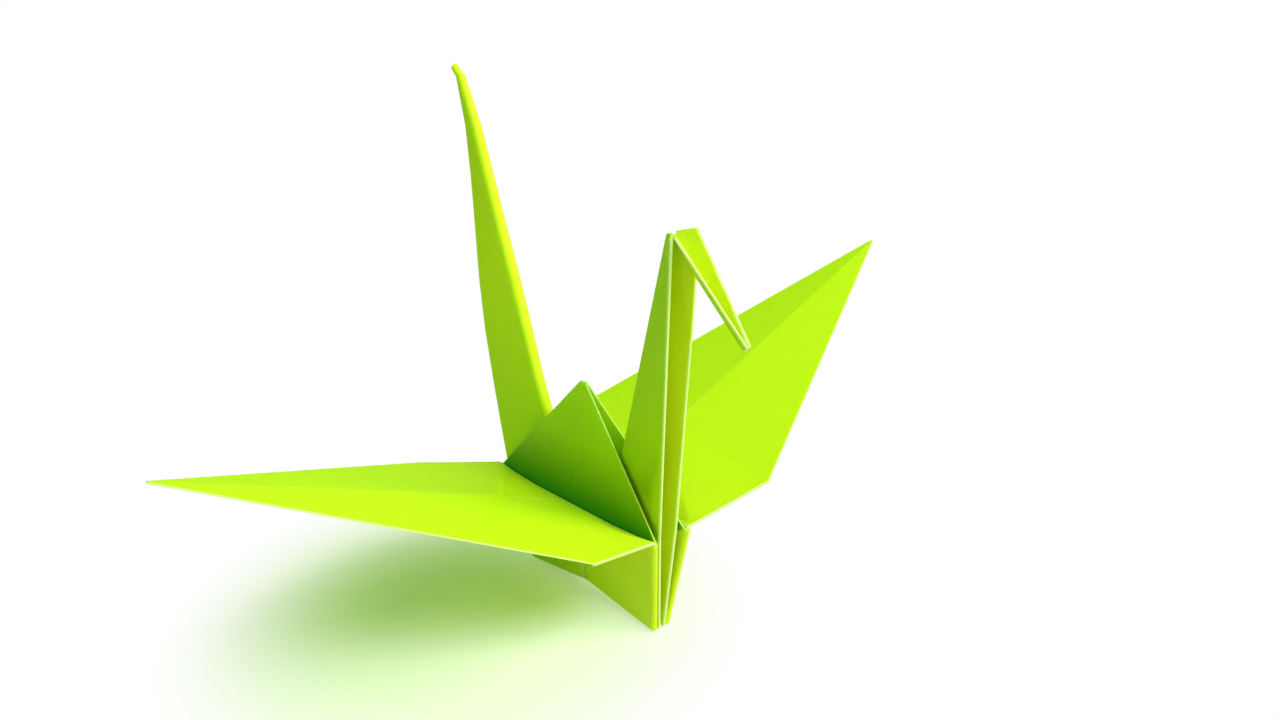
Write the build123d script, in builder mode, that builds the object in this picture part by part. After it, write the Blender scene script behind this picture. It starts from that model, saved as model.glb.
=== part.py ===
from build123d import *
from math import cos, hypot, pi, radians, sin, sqrt, tan
import os

# The sheet: its side, its thickness, and the step from one pressed layer to the next
side = 150
paper = 0.09
pitch = 0.12
pressed = 1.1 * paper
slit = 0.12
lap = 0.04

# The crease pattern of the bird base: distances up its middle line from the tip of a leg
narrowing = tan(radians(11.25))
quarter = tan(radians(22.5))
leg_split = side / 2
flap_top = hypot(side / 2, side * quarter / 2)
wing_line = side / sqrt(2) / (1 + narrowing)
wing_corner = side * quarter / (narrowing + quarter)
foot_line = 0.485 * side
upright = 0.993

# The crease on which a leg turns up inside the body: from the crotch between the legs down to the foot
stack_wrap = 3.5 * pitch + paper / 2
crotch_drop = 2.3
foot_reach = foot_line * narrowing
crease_length = hypot(foot_reach, crotch_drop)
crease_fall = (foot_reach / crease_length, -crotch_drop / crease_length)

# Heights on the standing crane
foot_level = (3.5 * pitch + pressed / 2) * crease_fall[0] + stack_wrap * crease_fall[1]
crotch_level = foot_level + crotch_drop
split_level = foot_level + (leg_split - foot_line) * upright
knee_level = crotch_level + 1
flap_level = foot_level + (flap_top - foot_line) * upright
wing_level = foot_level + (wing_line - foot_line) * upright
hump_height = 17.4
top_level = wing_level + hump_height

# Half widths across the body, to the hump's face: at the top, at the wing line, at the feet and between them
top_half = 1.5 * pitch
front_open = 2.65
rear_open = 3.75
front_foot = 0.86
rear_foot = 1.18
middle_foot = 1.4
spine_foot = 4.5 * pitch

# The wings
wing_bend = 0.15
wing_rise = 15.9
tip_rise = 25.8
wing_tip_width = 0.2

# Points of the neck, head and tail in the middle plane, as (forward, up)
foot = (foot_reach, foot_level)
crotch = (0, crotch_level)
nape = (19.65, 58.1)
crown = (22.88, 58.82)
beak = (31.5, 46.5)
beak_top = (32.2, 47.2)
tail_foot = (-foot_reach, foot_level)
tail_tip = (-24.6, 73.8)
tail_end = (-25.6, 73.6)

# The neck, at shares of the way up: how far its two sides lean apart, in degrees
NECK_LEANS = ((0, 0.8), (0.27, 6))
nape_lean = 31
head_room = 0.48

# The tail, at shares of the way up: the lean of its sides, how far its spine is opened, its bend forward
TAIL_SHAPE = (
    (0, 2, 0, 0),
    (0.2, 13, 0, -0.3),
    (0.3, 12, 0.24, -0.7),
    (0.4, 12.5, 0.34, -0.75),
    (0.5, 16, 0.34, -0.3),
    (0.6, 16.5, 0.35, 0.1),
    (0.7, 12, 0.36, 0.45),
    (0.8, 6, 0.38, 0.95),
    (0.9, 1, 0.36, 1.45),
    (0.99, 2, 0.12, 0.9),
)
# The last of the tail, curled over backward: its spine and its open edge
tail_curl = (-25.3, 74.6)
tail_curl_end = (-25.7, 73.8)
curl_lean = 2

# Seats of the layers in the pressed stack, counted in pitches outward from the hump's face
LEG, HUMP, WING, EDGE, EDGE_TUCK, WING_TUCK, HUMP_TUCK, LEG_TUCK = range(-1, 7)
spine_sag = 0.3
turn_in = 0.29
blunt = 0.3
crotch_slack = 1.4
fold_start = 0.5
head_fold = (0.4, 3)

# How many facets a fold has, and how many steps a rolled or twisted panel
fold_facets = 3
roll_facets = 4
neck_steps = 3
flat = 1e-7

FRONT, REAR = 1, -1
LEFT, RIGHT = 1, -1
ACROSS = Vector(0, 1, 0)


def mix(a, b, share):
    return a + (b - a) * share


def strand(plane, runs, sags=None, caps=None, thick=paper):
    """A cut through the folded paper: straight runs, each joined to the next by a fold of a few facets."""
    half = thick / 2
    path = [(Vector(*a), Vector(*b)) for a, b in runs]
    faces = {1: [], -1: []}

    def end(a, b, point):
        ahead = (b - a).normalized()
        square = Vector(-ahead.Y, ahead.X)
        if caps:
            square = caps / caps.dot(square)
        for hand in faces:
            faces[hand].append(point + square * half * hand)

    end(*path[0], path[0][0])
    for place, ((a, b), (c, d)) in enumerate(zip(path, path[1:])):
        middle = (b + c) / 2
        reach = (b - c).length / 2
        across = (b - c).normalized()
        ahead = (b - a).normalized()
        out = (ahead - across * ahead.dot(across)).normalized()
        turn = 1 if ahead.cross(c - b).Z > 0 else -1
        sag = min(reach, (sags or {}).get(place, reach))
        for hand in faces:
            grow = -half * turn * hand
            for facet in range(fold_facets + 1):
                angle = pi * facet / fold_facets
                point = middle + across * (reach + grow) * cos(angle) + out * (sag + grow) * sin(angle)
                faces[hand].append(point)
    end(*path[-1], path[-1][1])
    return [plane.from_local_coords(corner) for corner in faces[1] + faces[-1][::-1]]


def folded(cuts, steps=1, outward=False):
    """The paper between cuts through it: flat facets, and where a panel twists two, bent out or in."""
    fine = [cuts[0]]
    for low, high in zip(cuts, cuts[1:]):
        for step in range(1, steps + 1):
            fine.append([mix(a, b, step / steps) for a, b in zip(low, high)])
    facets = [Face(Wire.make_polygon(cut)) for cut in (cuts[0], cuts[-1])]
    for low, high in zip(fine, fine[1:]):
        for place in range(len(low)):
            a, b, c, d = low[place - 1], low[place], high[place], high[place - 1]
            square = (b - a).cross(d - a).normalized()
            if abs(square.dot(c - a)) < flat:
                panels = [(a, b, c, d)]
            elif (abs(a.Y + c.Y) > abs(b.Y + d.Y)) == outward:
                panels = [(a, b, c), (a, c, d)]
            else:
                panels = [(a, b, d), (b, c, d)]
            facets += [Face(Wire.make_polygon(panel)) for panel in panels]
    shell = Shell(facets)
    solid = Solid(shell)
    return solid if solid.volume > 0 else Solid(-shell)


def both_sides(runs):
    """The left half of a strand, then the same on the right: it goes on through the spine."""
    return runs + [((b[0], -b[1]), (a[0], -a[1])) for a, b in reversed(runs)]


def flipped(runs, forward, left):
    return [tuple((x * forward, y * left) for x, y in run) for run in runs]


# Sections of the body, at one height
def half_widths(z, end):
    """Half widths at a height: on the middle line, at the folded edge and at the spine."""
    edge_top, edge_foot = (front_open, front_foot) if end == FRONT else (rear_open, rear_foot)
    middle_top = (front_open + rear_open) / 2
    if z > wing_level:
        share = (z - wing_level) / hump_height
        middle = mix(middle_top, top_half, share)
        edge = mix(edge_top, top_half, share)
    else:
        middle = mix(middle_top, middle_foot, (wing_level - z) / (wing_level - crotch_level))
        edge = mix(edge_top, edge_foot, (wing_level - z) / (wing_level - foot_level))
    spine = mix(pitch / 2, spine_foot, (top_level - z) / (top_level - crotch_level))
    return middle, edge, spine


def stack(z, end):
    """The width of the pressed stack at a height, and a function that gives the place of a layer in it."""
    middle, edge, _ = half_widths(z, end)
    width = (foot_line + (z - foot_level) / upright) * narrowing - stack_wrap

    def at(x, layer):
        return x, mix(middle, edge, x / width) + layer * pitch

    return width, at


def spine_at(z, end):
    spine = half_widths(z, end)[2]
    return (slit + paper) / 2 + min(spine, spine_sag), spine


def level_plane(z, end):
    return Plane(origin=(0, 0, z), x_dir=(end, 0, 0), z_dir=(0, 0, 1))


def hump_cut(z, end):
    width, at = stack(z, end)
    return strand(
        level_plane(z, end),
        both_sides([(at(0, HUMP), at(width, HUMP)), (at(width, LEG), spine_at(z, end))]),
        {1: spine_sag},
        ACROSS,
    )


def hump_top_cut(end):
    reach = turn_in + blunt
    left = [((0, top_half), (reach, top_half)), ((reach, top_half - pitch), spine_at(top_level, end))]
    return strand(level_plane(top_level, end), both_sides(left), {1: spine_sag}, ACROSS)


def tucked_hump_cut(z, end):
    width, at = stack(z, end)
    inner = min(max((z - flap_level) / upright / quarter, turn_in), width - blunt)
    left = [
        (at(0, HUMP), at(width, HUMP)),
        (at(width, HUMP_TUCK), at(inner, HUMP_TUCK)),
        (at(inner, LEG_TUCK), at(width, LEG_TUCK)),
        (at(width, LEG), spine_at(z, end)),
    ]
    return strand(level_plane(z, end), both_sides(left), {3: spine_sag}, ACROSS)


def wing_root_cut(z, end, hand):
    width, at = stack(z, end)
    inner = max((z - flap_level) / upright, turn_in)
    runs = [
        (at(0, WING), at(width, WING)),
        (at(width, WING_TUCK), at(inner, WING_TUCK)),
        (at(inner, EDGE_TUCK), at(width, EDGE_TUCK)),
        (at(width, EDGE), at(slit / 2, EDGE)),
    ]
    return strand(level_plane(z, FRONT), flipped(runs, end, hand), caps=ACROSS)


def leg_root_cut(z, end):
    width, at = stack(z, end)
    left = [
        (at(slit / 2, EDGE), at(width, EDGE)),
        (at(width, EDGE_TUCK), at(turn_in, EDGE_TUCK)),
        (at(turn_in, LEG_TUCK), at(width, LEG_TUCK)),
        (at(width, LEG), spine_at(z, end)),
    ]
    return strand(level_plane(z, end), both_sides(left), {3: spine_sag}, ACROSS)


def pleat_cut(z, end, hand):
    width, at = stack(z, end)
    inner = min((flap_level - z) / upright / quarter + turn_in + 1.5 * pitch, width - blunt)
    runs = [
        (at(0, WING), at(width, WING)),
        (at(width, WING_TUCK), at(inner, WING_TUCK)),
        (at(inner, HUMP_TUCK), at(width, HUMP_TUCK)),
        (at(width, HUMP), at(0, HUMP)),
    ]
    return strand(level_plane(z, FRONT), flipped(runs, end, hand), caps=ACROSS)


def hinge_cut(x, end, hand):
    _, at = stack(split_level, end)
    inside = at(x, HUMP)[1]
    outside = at(x, WING)[1]
    runs = [((inside, lap), (inside, 0)), ((outside, 0), (outside, lap))]
    plane = Plane(origin=(x * end, 0, split_level), x_dir=(0, 1, 0), z_dir=(1, 0, 0))
    return strand(plane, flipped(runs, hand, 1), thick=pressed)


def crease_stack(end):
    """As stack, on the slope of the crease between body and leg."""
    edge_foot = front_foot if end == FRONT else rear_foot
    width = crease_length - stack_wrap

    def at(x, layer):
        return x, mix(middle_foot, edge_foot, x / width) + layer * pitch

    return width, at


def crease_plane(end):
    return Plane(
        origin=(0, 0, crotch_level),
        x_dir=(crease_fall[0] * end, 0, crease_fall[1]),
        z_dir=(-crease_fall[1] * end, 0, crease_fall[0]),
    )


def leg_crease_cut(end):
    width, at = crease_stack(end)
    left = [
        (at(slit / 2, EDGE), at(width, EDGE)),
        (at(width, EDGE_TUCK), at(turn_in, EDGE_TUCK)),
        (at(turn_in, LEG_TUCK), at(width, LEG_TUCK)),
        (at(width, LEG), spine_at(crotch_level, end)),
    ]
    return strand(crease_plane(end), both_sides(left), {3: spine_sag}, ACROSS)


# Sections of a leg, now a neck, a head or a tail: seats counted in pitches out from the middle plane
TURNED = {EDGE: 2.5, EDGE_TUCK: 1.5, LEG_TUCK: 0.5, LEG: 3.5}
RESTORED = {EDGE: 1.5, EDGE_TUCK: 2.5, LEG_TUCK: 3.5, LEG: 0.5}
leg_wrap = 1.5 * pitch + paper / 2


def leg_frame(spine, edge):
    """The plane of a leg's section, from its spine to its open edge, and its width."""
    run, climb = edge[0] - spine[0], edge[1] - spine[1]
    plane = Plane(origin=(spine[0], 0, spine[1]), x_dir=(run, 0, climb), z_dir=(-climb, 0, run))
    return plane, hypot(run, climb)


def leg_layers(lean, seats, opened):
    """A function that gives the place of a layer at a distance from the spine."""
    ahead, aside = cos(radians(lean)), sin(radians(lean))

    def at(along, layer):
        lift = seats[layer] * pitch + opened
        return ahead * along - aside * lift, aside * along + ahead * lift

    return at


def leg_cut(spine, edge, lean, seats=TURNED, opened=0.0, bow=0.0):
    plane, width = leg_frame(spine, edge)
    at = leg_layers(lean, seats, opened)
    sag = spine_sag + bow
    near = min(seats[LEG] * pitch + opened, sag) + paper / 2
    inner = near + leg_wrap / 2
    far = width - leg_wrap
    left = [
        (at(inner, EDGE), at(far, EDGE)),
        (at(far, EDGE_TUCK), at(inner, EDGE_TUCK)),
        (at(inner, LEG_TUCK), at(far, LEG_TUCK)),
        (at(far, LEG), at(near, LEG)),
    ]
    return strand(plane, both_sides(left), {3: sag})


def along_leg(share, low, high, forward=0):
    return mix(low[0], high[0], share) + forward, mix(low[1], high[1], share)


# Reverse folds: every layer turns back on itself, each one around the last
def foot_fold_cut(along, end, hand, layer):
    width, at = crease_stack(end)
    lean = NECK_LEANS[0][1] if end == FRONT else TAIL_SHAPE[0][1]
    leg_at = leg_layers(lean, TURNED, 0)
    body = at(along, layer)[1]
    if layer == LEG:
        near, spine = spine_at(crotch_level, end)
        body = mix(spine, at(width, LEG)[1], (along - near) / (width - near))
    leg = leg_at(along, layer)[1]
    sag = (RESTORED[layer] + crotch_slack * (1 - along / width)) * pitch
    plane = Plane(
        origin=(along * crease_fall[0] * end, 0, crotch_level + along * crease_fall[1]),
        x_dir=(0, 1, 0),
        z_dir=(crease_fall[0], 0, crease_fall[1] * end),
    )
    runs = [((body, lap), (body, 0)), ((leg, 0), (leg, lap))]
    return strand(plane, flipped(runs, hand, 1), {0: sag}, thick=pressed)


def head_fold_cut(along, hand, layer):
    frame, _ = leg_frame(nape, crown)
    ahead, aside = cos(radians(nape_lean)), sin(radians(nape_lean))
    inner = RESTORED[layer] * pitch
    outer = TURNED[layer] * pitch + head_room
    out = frame.x_dir * -aside + frame.y_dir * ahead * hand
    plane = Plane(
        origin=frame.origin + (frame.x_dir * ahead + frame.y_dir * aside * hand) * along,
        x_dir=out,
        z_dir=out.cross(frame.z_dir),
    )
    return strand(plane, [((inner, -lap), (inner, 0)), ((outer, 0), (outer, -lap))], thick=pressed)


# Sections of a wing, square to its length, at a distance out from the wing line
root_width = wing_line * narrowing - stack_wrap
wing_slant = (front_open - rear_open) / 2 / root_width
hinge_out = (front_open + rear_open) / 2 + WING_TUCK * pitch + wing_bend
corner_out = wing_corner - wing_line
tip_out = side - wing_line - (wing_tip_width + leg_wrap / 2) / quarter


def wing_plane(out, hand, rise=None):
    """The plane of a wing's section; the wing rises as it goes out, and more beyond its corner."""
    inner, outer = min(out, corner_out), max(out - corner_out, 0)
    across = inner * cos(radians(wing_rise)) + outer * cos(radians(tip_rise))
    up = inner * sin(radians(wing_rise)) + outer * sin(radians(tip_rise))
    if rise is None:
        rise = (wing_rise + tip_rise) / 2
        if out != corner_out:
            rise = wing_rise if out < corner_out else tip_rise
    outward = Vector(-wing_slant, hand, 0).normalized()
    return Plane(
        origin=Vector(0, hand * hinge_out, wing_level) + outward * across + Vector(0, 0, up),
        x_dir=(hand, wing_slant, 0),
        z_dir=outward * cos(radians(rise)) + Vector(0, 0, sin(radians(rise))),
    )


def wing_depth(layer):
    return -(wing_bend + (WING_TUCK - layer) * pitch)


def inner_wing_cut(out, hand, rise=None):
    share = out / corner_out
    width = (wing_line + out) * narrowing - mix(stack_wrap, leg_wrap, share)
    inner = min(wing_line + out - flap_top, width - blunt)
    edge, edge_tuck = wing_depth(EDGE), wing_depth(EDGE_TUCK)
    wing, wing_tuck = wing_depth(WING), wing_depth(WING_TUCK)
    front = [
        ((slit / 2, edge), (width, edge)),
        ((width, edge_tuck), (inner, edge_tuck)),
        ((inner, wing_tuck), (width, wing_tuck)),
    ]
    rear = [((-b[0], b[1]), (-a[0], a[1])) for a, b in reversed(front)]
    return strand(wing_plane(out, hand, rise), front + [((width, wing), (-width, wing))] + rear)


def outer_wing_cut(out, hand):
    share = (out - corner_out) / (tip_out - corner_out)
    width = (side - wing_line - out) * quarter - mix(leg_wrap, leg_wrap / 2, share)
    edge, wing = wing_depth(EDGE), wing_depth(WING)
    front = ((slit / 2, edge), (width, edge))
    rear = ((-width, edge), (-slit / 2, edge))
    return strand(wing_plane(out, hand), [front, ((width, wing), (-width, wing)), rear])


# The hump and the body, between the hump's top and the feet
with BuildPart() as body:
    pieces = []
    for end in (FRONT, REAR):
        width = stack(split_level, end)[0]
        leg_root = [leg_root_cut(z, end) for z in (knee_level, flap_level)]
        pieces.append(folded([hump_cut(wing_level, end), hump_top_cut(end)], outward=True))
        pieces.append(folded([tucked_hump_cut(z, end) for z in (flap_level, wing_level)], outward=True))
        pieces.append(folded([leg_crease_cut(end)] + leg_root, outward=True))
        for hand in (LEFT, RIGHT):
            wing_root = [wing_root_cut(z, end, hand) for z in (flap_level, wing_level)]
            pleat = [pleat_cut(z, end, hand) for z in (split_level, knee_level, flap_level)]
            hinge = [hinge_cut(x, end, hand) for x in (0, width)]
            pieces += [folded(cuts, outward=True) for cuts in (wing_root, pleat, hinge)]
    add(pieces)

# The wings: rolled over at the wing line, then out to the tip
with BuildPart() as wings:
    pieces = []
    for hand in (LEFT, RIGHT):
        roll = [mix(90, wing_rise, facet / roll_facets) for facet in range(roll_facets + 1)]
        pieces.append(folded([inner_wing_cut(0, hand, rise) for rise in roll]))
        pieces.append(folded([inner_wing_cut(out, hand) for out in (0, corner_out)]))
        pieces.append(folded([outer_wing_cut(out, hand) for out in (corner_out, tip_out)]))
    add(pieces)

# The feet: the reverse folds of the neck and the tail
with BuildPart() as feet:
    pieces = []
    for end in (FRONT, REAR):
        crease = (fold_start, crease_stack(end)[0])
        for hand in (LEFT, RIGHT):
            for layer in TURNED:
                pieces.append(folded([foot_fold_cut(along, end, hand, layer) for along in crease]))
    add(pieces)

# The tail
with BuildPart() as tail:
    rising = []
    for share, lean, opened, forward in TAIL_SHAPE:
        spine = along_leg(share, crotch, tail_tip, forward)
        edge = along_leg(share, tail_foot, tail_end, forward)
        rising.append(leg_cut(spine, edge, lean, opened=opened, bow=opened))
    rising.append(leg_cut(tail_curl, tail_curl_end, curl_lean))
    add(folded(rising))

# The neck, and the head turned down through its reverse fold at the crown
with BuildPart() as neck:
    rising = []
    for share, lean in NECK_LEANS:
        rising.append(leg_cut(along_leg(share, crotch, nape), along_leg(share, foot, crown), lean))
    rising.append(leg_cut(nape, crown, nape_lean, opened=head_room))
    head = [leg_cut(nape, crown, nape_lean, RESTORED), leg_cut(beak, beak_top, 0, RESTORED)]
    pieces = [folded(rising, neck_steps), folded(head, neck_steps)]
    for hand in (LEFT, RIGHT):
        for layer in TURNED:
            pieces.append(folded([head_fold_cut(along, hand, layer) for along in head_fold]))
    add(pieces)

# The whole sheet
with BuildPart() as folded_crane:
    add([body.part, wings.part, feet.part, tail.part, neck.part])

folded_crane.part.label = "folded_crane"
os.makedirs("parts", exist_ok=True)
export_step(folded_crane.part, "parts/folded_crane.step")
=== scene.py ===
from math import cos, pi, radians, sin

import bmesh
import bpy
from mathutils import Matrix, Vector


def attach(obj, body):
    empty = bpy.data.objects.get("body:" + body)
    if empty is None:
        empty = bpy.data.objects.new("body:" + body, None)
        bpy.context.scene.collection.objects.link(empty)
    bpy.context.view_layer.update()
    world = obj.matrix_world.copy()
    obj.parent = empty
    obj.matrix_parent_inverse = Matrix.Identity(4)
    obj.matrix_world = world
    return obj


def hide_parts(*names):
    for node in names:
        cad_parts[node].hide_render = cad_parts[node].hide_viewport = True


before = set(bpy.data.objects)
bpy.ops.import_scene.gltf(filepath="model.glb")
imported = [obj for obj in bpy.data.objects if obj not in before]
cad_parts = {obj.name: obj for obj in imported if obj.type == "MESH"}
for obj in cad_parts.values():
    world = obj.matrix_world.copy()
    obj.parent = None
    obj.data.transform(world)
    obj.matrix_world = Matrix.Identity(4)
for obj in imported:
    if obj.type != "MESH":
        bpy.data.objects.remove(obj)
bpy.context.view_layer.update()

# The folded sheet.
# One square of lime-green origami paper, creased by hand into a crane. Its mesh is a copy of the CAD
# solid's: the layers, folds and thickness stay, and the copy is only merged into one closed skin.
MERGE_GAP, SAME_PLANE = 1e-7, radians(0.05)
crane = bpy.data.objects.new("crane_sheet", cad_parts["folded_crane"].data.copy())
bpy.context.scene.collection.objects.link(crane)
sheet = bmesh.new()
sheet.from_mesh(crane.data)
bmesh.ops.remove_doubles(sheet, verts=sheet.verts, dist=MERGE_GAP)
bmesh.ops.dissolve_limit(sheet, angle_limit=SAME_PLANE, verts=sheet.verts, edges=sheet.edges)

# The folds.
# Each fold is pressed flat with a thumbnail. On its outer side, a strip of narrow facets, the dye is
# rubbed off by that and the paper shows paler; the same pale strip is also a painted highlight along the
# fold's edge.
FOLD_TURN, FOLD_WIDTH = radians(25), 0.00025
bmesh.ops.triangulate(sheet, faces=sheet.faces)
# Painted highlight and wear: the outer strip of each sharp fold is marked for the pale colour.
wear_and_highlight = sheet.faces.layers.float.new("wear_and_highlight")
for face in sheet.faces:
    turned = [e for e in face.edges if e.is_manifold and e.calc_face_angle_signed() > FOLD_TURN]
    height = 2 * face.calc_area() / max(e.calc_length() for e in face.edges)
    if turned and height < FOLD_WIDTH:
        face[wear_and_highlight] = 1.0

# The ridge of the wings.
# The crease down the middle of each wing holds it straight from the hinge to the tip, and the wing's
# corners droop from it. Each half stays flat, but for a soft bend from the hinge's end to the ridge.
SLANT = 0.032
HINGE, CORNER, TIP = 0.0039, 0.0157, 0.0593
ROOT_HALF, CORNER_HALF = 0.0173, 0.0201
RIDGE = 0.0021
SPARE, ON_PLANE = 0.0005, 1e-6
UPWARD = Vector((0, 0, 1))


def wing_lines(hand):
    """The level directions out along the middle crease of a wing, and ahead of it."""
    return Vector((SLANT, hand, 0)).normalized(), Vector((1, -SLANT * hand, 0)).normalized()


def wing_place(point, hand):
    """How far a point lies out along the middle crease of a wing, and how far ahead of it."""
    outward, forward = wing_lines(hand)
    return point.dot(outward), point.dot(forward)


def cut(hand, place, square, keep):
    """Cuts the faces whose corners all have keep(out, ahead, height), along a plane square to a line."""
    faces = [f for f in sheet.faces if all(keep(*wing_place(v.co, hand), v.co.z) for v in f.verts)]
    parts = set(faces) | {e for f in faces for e in f.edges} | {v for f in faces for v in f.verts}
    bmesh.ops.bisect_plane(sheet, geom=list(parts), dist=ON_PLANE, plane_co=place, plane_no=square)


def cut_wing(hand, start, stop):
    """Cuts every layer of a wing along an upright plane through two places, given as out and ahead."""
    outward, forward = wing_lines(hand)
    low, high = (outward * out + forward * ahead for out, ahead in (start, stop))
    square = (high - low).cross(UPWARD)
    cut(hand, low, square, lambda out, ahead, height: HINGE < out < stop[0] + SPARE)


for hand in (1, -1):
    cut_wing(hand, (HINGE, 0), (TIP, 0))
    cut_wing(hand, (HINGE, ROOT_HALF), (CORNER, 0))
    cut_wing(hand, (HINGE, -ROOT_HALF), (CORNER, 0))
    for vert in sheet.verts:
        out, ahead = wing_place(vert.co, hand)
        if out > HINGE:
            near = (out - HINGE) / (CORNER - HINGE)
            half = ROOT_HALF + (CORNER_HALF - ROOT_HALF) * near
            if out > CORNER:
                half = CORNER_HALF * (TIP - out) / (TIP - CORNER)
            vert.co.z += RIDGE * max(0, min(near, (half - abs(ahead)) / CORNER_HALF))

# The valleys beside the hump.
# Each wing turns out from the hump in a sharp valley, and its paper rises out of that in a small roll.
# The foot of the hump's walls is painted a deeper green as painted shade, since light comes there only by
# way of the wings.
HINGE_LEVEL = 0.0160
HINGE_BACK, HINGE_DROP = 0.0002, 0.0008
VALLEY_DEPTH, VALLEY_WIDTH, VALLEY_HALF = 0.0013, 0.0030, 0.0171
VALLEY_CUTS = (0.2, 0.4, 0.7, 1)
END_CUTS = (-1, -0.93, -0.8, -0.5, 0.5, 0.8, 0.93, 1)
WALL_CUTS = (0.006, 0.009)
HUMP_HEIGHT, LAYERS = 0.0174, 0.0012
SLACK, WALL_HALF = 0.0001, ROOT_HALF + 0.0006
REACH_OUT, REACH_HALF, REACH_RISE = HINGE + 1.01 * VALLEY_WIDTH, 1.2 * ROOT_HALF, 0.005
SHADE_RISE, SHADE_HALF, SHADE_FALL, STEEP = 0.0125, 0.97 * ROOT_HALF, 1.5, 0.5


def on_wing(out, ahead, height):
    """Past the hinge, and above the body flap under it."""
    return out > HINGE - HINGE_BACK and height > HINGE_LEVEL - HINGE_DROP


def on_wall(out, ahead, height):
    """In a wall of the hump or in the body flap below it."""
    return -SLACK < out < HINGE + LAYERS and abs(ahead) < WALL_HALF


def by_hinge(out, ahead, height):
    """In reach of the valley, on either side of the hinge."""
    level = abs(height - HINGE_LEVEL) < REACH_RISE
    return -SLACK < out < REACH_OUT and abs(ahead) < REACH_HALF and level


shaded = sheet.loops.layers.float.new("shaded")
for hand in (1, -1):
    outward, forward = wing_lines(hand)
    for rise in WALL_CUTS:
        cut(hand, UPWARD * (HINGE_LEVEL + rise), UPWARD, on_wall)
    for share in VALLEY_CUTS:
        cut(hand, outward * (HINGE + VALLEY_WIDTH * share), outward, on_wing)
        for side in (1, -1):
            cut(hand, UPWARD * (HINGE_LEVEL + side * VALLEY_WIDTH * share), UPWARD, on_wall)
    for share in END_CUTS:
        cut(hand, forward * VALLEY_HALF * share, forward, by_hinge)
    # Painted shade: corners low on the walls take the deep green, fading out upward from the hinge.
    for corner in (c for f in sheet.faces if abs(f.normal.z) < STEEP for c in f.loops):
        out, ahead = wing_place(corner.vert.co, hand)
        rise = corner.vert.co.z - HINGE_LEVEL
        inside = HINGE * (1 - rise / HUMP_HEIGHT) - out
        if -SPARE < inside < LAYERS and abs(ahead) < SHADE_HALF and -SLACK < rise < SHADE_RISE:
            corner[shaded] = (1 - max(0, rise) / SHADE_RISE) ** SHADE_FALL
    for vert in sheet.verts:
        out, ahead = wing_place(vert.co, hand)
        near = 1 - Vector((out - HINGE, vert.co.z - HINGE_LEVEL)).length / VALLEY_WIDTH
        if near > 0 and abs(ahead) < VALLEY_HALF:
            vert.co.z -= VALLEY_DEPTH * near ** 2 * (1 - (ahead / VALLEY_HALF) ** 4)

# The middle creases.
# The first folds of the sheet run down the middle of the hump and the wings. They were opened again, and
# are left as a thin line that is a little paler than the paper, partly worn and partly a painted
# highlight.
CREASE_TURN, CUT_TURN = radians(1), radians(75)
CREASE_WIDTH, CREASE_WEAR_HIGHLIGHT = 0.00012, 0.25
ON_LINE, HUMP_FOOT = 0.00002, 0.0155
middle = []
for edge in sheet.edges:
    if not edge.is_manifold or not CREASE_TURN < edge.calc_face_angle() < FOLD_TURN:
        continue
    places = [wing_place(v.co, 1 if v.co.y > 0 else -1) for v in edge.verts]
    down_wing = all(out > HINGE - SLACK and abs(ahead) < ON_LINE for out, ahead in places)
    down_hump = all(abs(v.co.x) < ON_LINE and v.co.z > HUMP_FOOT for v in edge.verts)
    if down_wing or down_hump:
        middle.append(edge)
made = bmesh.ops.bevel(
    sheet, geom=middle, offset=CREASE_WIDTH / 2, segments=1, affect="EDGES", profile=0.5, material=-1
)
# Painted highlight and wear: each crease's strip takes part of the pale colour.
for face in made["faces"]:
    face[wear_and_highlight] = CREASE_WEAR_HIGHLIGHT
bmesh.ops.triangulate(sheet, faces=[f for f in sheet.faces if len(f.verts) > 4])
for edge in sheet.edges:
    edge.smooth = edge.is_manifold and edge.calc_face_angle() < CUT_TURN
for face in sheet.faces:
    face.smooth = True
sheet.to_mesh(crane.data)
sheet.free()
even = crane.modifiers.new("even_shading", "WEIGHTED_NORMAL")
even.keep_sharp = True


def linear(code):
    """An sRGB hex colour as linear red, green, blue and alpha."""
    parts = [int(code[n:n + 2], 16) / 255 for n in (0, 2, 4)]
    return [p / 12.92 if p <= 0.04045 else ((p + 0.055) / 1.055) ** 2.4 for p in parts] + [1.0]


def node(tree, kind, settings=None, **links):
    """A shader node with its settings, and its sockets' values or links by name or, as i0, by number."""
    made = tree.nodes.new(kind)
    for name, value in (settings or {}).items():
        setattr(made, name, value)
    for name, value in links.items():
        numbered = name[1:].isdigit()
        socket = made.inputs[int(name[1:]) if numbered else name.replace("_", " ")]
        if isinstance(value, bpy.types.NodeSocket):
            tree.links.new(value, socket)
        else:
            socket.default_value = value
    return made


# Origami paper: thin, uncoated and dyed right through, pressed smooth between rollers. It scatters light
# softly, and what light it lets through comes out a deeper green, so the shaded sides are green too.
# The pale colour stands for rubbed-off dye and for a painted highlight on the folds.
PAPER, DEEP, PALE_WEAR_HIGHLIGHT, SHADED = "fcfa18", "c0fa00", "f0fba6", "18b400"
LET_THROUGH = 0.45
FIBRE_MM, FIBRE_RELIEF = 0.25, 0.00002
paper = bpy.data.materials.new("dyed_origami_paper")
paper.use_nodes = True
tree = paper.node_tree
tree.nodes.clear()
place = node(tree, "ShaderNodeTexCoord").outputs["Object"]
fibre = node(tree, "ShaderNodeTexNoise", Vector=place, Scale=1000 / FIBRE_MM, Detail=3.0, Roughness=0.6)
bump = node(tree, "ShaderNodeBump", Height=fibre.outputs["Fac"], Strength=0.15, Distance=FIBRE_RELIEF)
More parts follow.
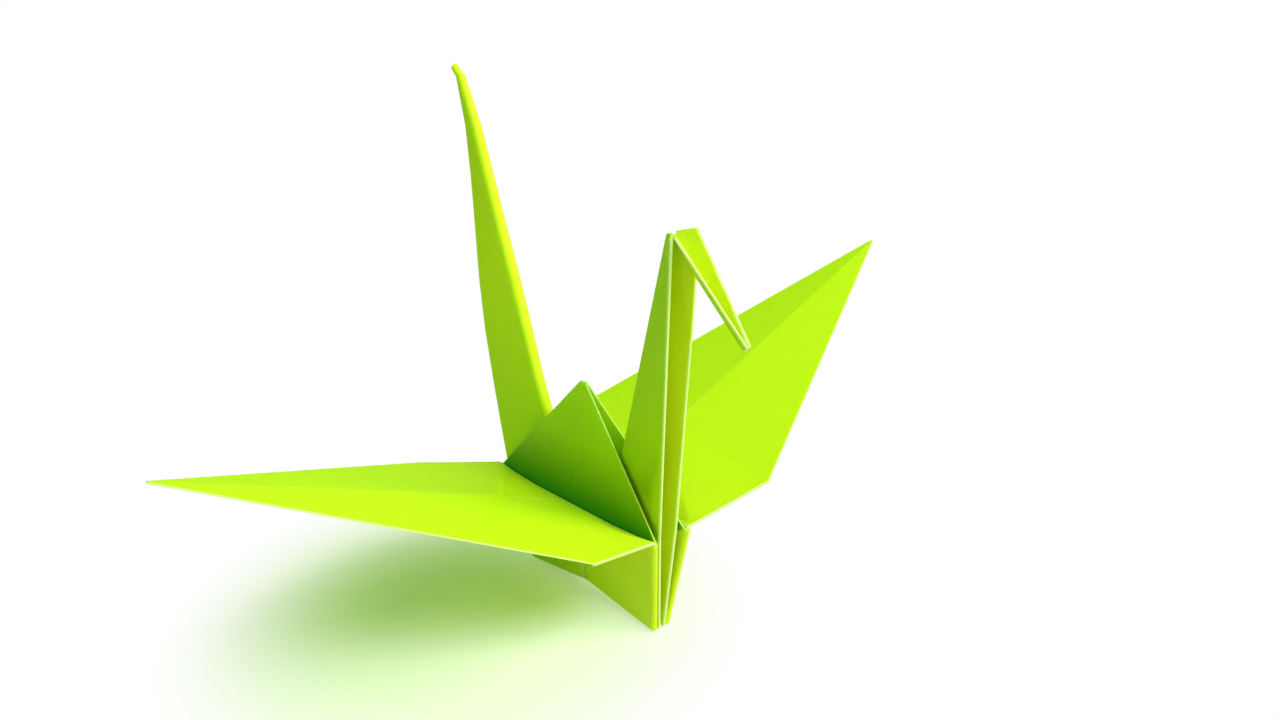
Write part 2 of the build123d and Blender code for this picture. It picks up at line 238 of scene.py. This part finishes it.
# Painted highlight and wear: how much of the pale colour lies on the folds and middle creases.
paleness_from_wear_and_highlight = node(tree, "ShaderNodeAttribute", {"attribute_name": "wear_and_highlight"}).outputs["Fac"]
# Painted shade: the foot of the hump's walls turns towards the deep green.
valley = node(tree, "ShaderNodeAttribute", {"attribute_name": "shaded"}).outputs["Fac"]
colours = []
for colour in (PAPER, DEEP):
    colour, shade, pale_wear_highlight_colour = linear(colour), linear(SHADED), linear(PALE_WEAR_HIGHLIGHT)
    low = node(tree, "ShaderNodeMix", {"data_type": "RGBA"}, i0=valley, i6=colour, i7=shade).outputs[2]
    folds = node(tree, "ShaderNodeMix", {"data_type": "RGBA"}, i0=paleness_from_wear_and_highlight, i6=low, i7=pale_wear_highlight_colour).outputs[2]
    colours.append(folds)
dye, deep = colours
skin = node(
    tree,
    "ShaderNodeBsdfPrincipled",
    Base_Color=dye,
    Normal=bump.outputs["Normal"],
    Roughness=0.6,
    IOR=1.46,
)
through = node(tree, "ShaderNodeBsdfTranslucent", Color=deep, Normal=bump.outputs["Normal"])
both = node(tree, "ShaderNodeMixShader", Fac=LET_THROUGH, i1=skin.outputs[0], i2=through.outputs[0])
node(tree, "ShaderNodeOutputMaterial", Surface=both.outputs[0])
crane.data.materials.clear()
crane.data.materials.append(paper)
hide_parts("folded_crane")
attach(crane, "root")

# The table top.
# A plain white card that runs on past the picture. It takes the crane's shadow, which the light through
# the paper turns green, and a painted green glow there lifts and greens that shadow. Away from the crane
# it shows as pure white.
FLOOR_SIZE = 3.0
SHADOW_MIDDLE = (-0.010, -0.018, 0.0)
SHADOW_FROM, SHADOW_TO = 0.006, 0.044
GLOW_NEAR, GLOW_FAR = 0.18, 1.0
CARD, GREENED, WHITE = "fafafa", "d8ff88", "ffffff"


def backdrop_rays(tree):
    """Is 1 for the rays that show the backdrop as white: the camera's, in gloss and through glass."""
    rays = node(tree, "ShaderNodeLightPath").outputs
    largest = {"operation": "MAXIMUM"}
    seen = node(tree, "ShaderNodeMath", largest, i0=rays["Is Camera Ray"], i1=rays["Is Glossy Ray"])
    seen = node(tree, "ShaderNodeMath", largest, i0=seen.outputs[0], i1=rays["Is Transmission Ray"])
    return seen.outputs[0]


bm = bmesh.new()
bmesh.ops.create_grid(bm, x_segments=1, y_segments=1, size=FLOOR_SIZE)
floor = bpy.data.objects.new("floor", bpy.data.meshes.new("floor"))
bm.to_mesh(floor.data)
bm.free()
bpy.context.scene.collection.objects.link(floor)
card = bpy.data.materials.new("white_card")
card.use_nodes = True
tree = card.node_tree
tree.nodes.clear()
place = node(tree, "ShaderNodeTexCoord").outputs["Object"]
distance, smooth = {"operation": "DISTANCE"}, {"interpolation_type": "SMOOTHSTEP"}
far = node(tree, "ShaderNodeVectorMath", distance, i0=place, i1=SHADOW_MIDDLE).outputs["Value"]
share = node(tree, "ShaderNodeMapRange", smooth, Value=far, From_Min=SHADOW_FROM, From_Max=SHADOW_TO)
share = share.outputs["Result"]
# Painted light: near the crane the camera sees a faint green glow over the shadow, rising to plain white
# further out.
glow = node(tree, "ShaderNodeMapRange", Value=share, To_Min=GLOW_NEAR, To_Max=GLOW_FAR).outputs["Result"]
greened, white = linear(GREENED), linear(WHITE)
tint = node(tree, "ShaderNodeMix", {"data_type": "RGBA"}, i0=share, i6=greened, i7=white).outputs[2]
clear = node(tree, "ShaderNodeMath", {"operation": "MULTIPLY"}, i0=backdrop_rays(tree), i1=glow)
matt = node(tree, "ShaderNodeBsdfDiffuse", Color=linear(CARD))
bright = node(tree, "ShaderNodeEmission", Color=tint, Strength=1.0)
both = node(tree, "ShaderNodeMixShader", Fac=clear.outputs[0], i1=matt.outputs[0], i2=bright.outputs[0])
node(tree, "ShaderNodeOutputMaterial", Surface=both.outputs[0])
floor.data.materials.append(card)

# The light.
# A small window before the crane's head, a wide one at its left front, and the pale room all round. Each
# has its turn about the crane, its height over the horizon, its size and its light on a white card.
AIM = Vector((0.0, 0.0, 0.02))
AWAY_FROM_CRANE = 0.6
WINDOWS = {"window": (-6, 46, 0.18, 0.36), "wide_window": (34, 36, 0.36, 0.54)}
ROOM_LIGHT, ROOM_COLOUR = 0.34, "a8ff90"
for name, (turn, height, size, level) in WINDOWS.items():
    window = bpy.data.objects.new(name, bpy.data.lights.new(name, "AREA"))
    turn, height = radians(turn), radians(height)
    towards = Vector((cos(height) * cos(turn), cos(height) * sin(turn), sin(height)))
    window.data.size = size
    window.data.energy = level * (pi * AWAY_FROM_CRANE) ** 2 / towards.z
    window.location = AIM + towards * AWAY_FROM_CRANE
    window.rotation_euler = towards.to_track_quat("Z", "Y").to_euler()
    bpy.context.scene.collection.objects.link(window)
world = bpy.data.worlds.new("room")
world.use_nodes = True
bpy.context.scene.world = world
tree = world.node_tree
sky = tree.nodes["Background"]
sky.inputs["Color"].default_value = linear(ROOM_COLOUR)
level = node(tree, "ShaderNodeMath", {"operation": "MAXIMUM"}, i0=backdrop_rays(tree), i1=ROOM_LIGHT)
tree.links.new(level.outputs[0], sky.inputs["Strength"])

# The camera.
# It looks from close by, before the crane's right side and a little above it, and leans to one side.
TARGET = Vector((0.00499, 0.00610, 0.03627))
DISTANCE = 0.1623
AWAY = Vector((0.71684, -0.58844, 0.37400))
UP = Vector((-0.25800, 0.27447, 0.92634))
LENS = 33.26
camera = bpy.data.objects.new("camera", bpy.data.cameras.new("camera"))
camera.data.lens = LENS
camera.data.clip_start = 0.005
camera.rotation_euler = Matrix((UP.cross(AWAY).normalized(), UP, AWAY)).transposed().to_euler()
camera.location = TARGET + AWAY * DISTANCE
bpy.context.scene.collection.objects.link(camera)
bpy.context.scene.camera = camera
bpy.context.scene.view_settings.view_transform = "Standard"
